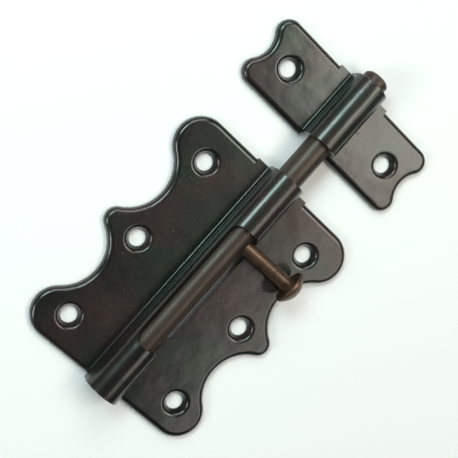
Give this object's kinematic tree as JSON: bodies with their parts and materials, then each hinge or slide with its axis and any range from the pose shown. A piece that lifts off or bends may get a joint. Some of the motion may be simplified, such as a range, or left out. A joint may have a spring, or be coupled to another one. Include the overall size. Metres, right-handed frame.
{
  "type": "barrel bolt",
  "caption": "Surface-mounted barrel bolt for a door: scalloped pressed plate with a sliding round rod and a turn-down stud handle, plus a matching keeper with a loop.",
  "frame": {"origin": "centre of the bolt plate's four corner screw holes, on the mounting plane", "axes": "+X along the rod towards the keeper, +Z out from the door, +Y across the plates, away from the side that the handle lies on"},
  "size_m": [0.1215, 0.067, 0.0133],
  "materials": {
    "plate_lacquer": "glossy dark lacquer over browned pressed steel",
    "rod_bronze": "satin browned bronze, olive grey",
    "handle_copper": "satin antique copper brown"
  },
  "bodies": {
    "plate": {"bolt_plate": "plate_lacquer"},
    "rod": {"bolt_rod": "rod_bronze"},
    "stud": {"handle": "handle_copper"},
    "catch": {"keeper": "plate_lacquer"}
  },
  "joints": [
    {"name": "rod_slide", "type": "slide", "parent": "plate", "child": "rod", "axis": [1, 0, 0], "range_m": [-0.032, 0.001]},
    {"name": "handle_turn", "type": "hinge", "parent": "rod", "child": "stud", "pos_m": [0.0187, 0, 0.00525], "axis": [-1, 0, 0], "range_deg": [0, 100]},
    {"name": "keeper_apart", "type": "slide", "parent": "plate", "child": "catch", "axis": [1, 0, 0], "range_m": [0, 0.03]}
  ]
}
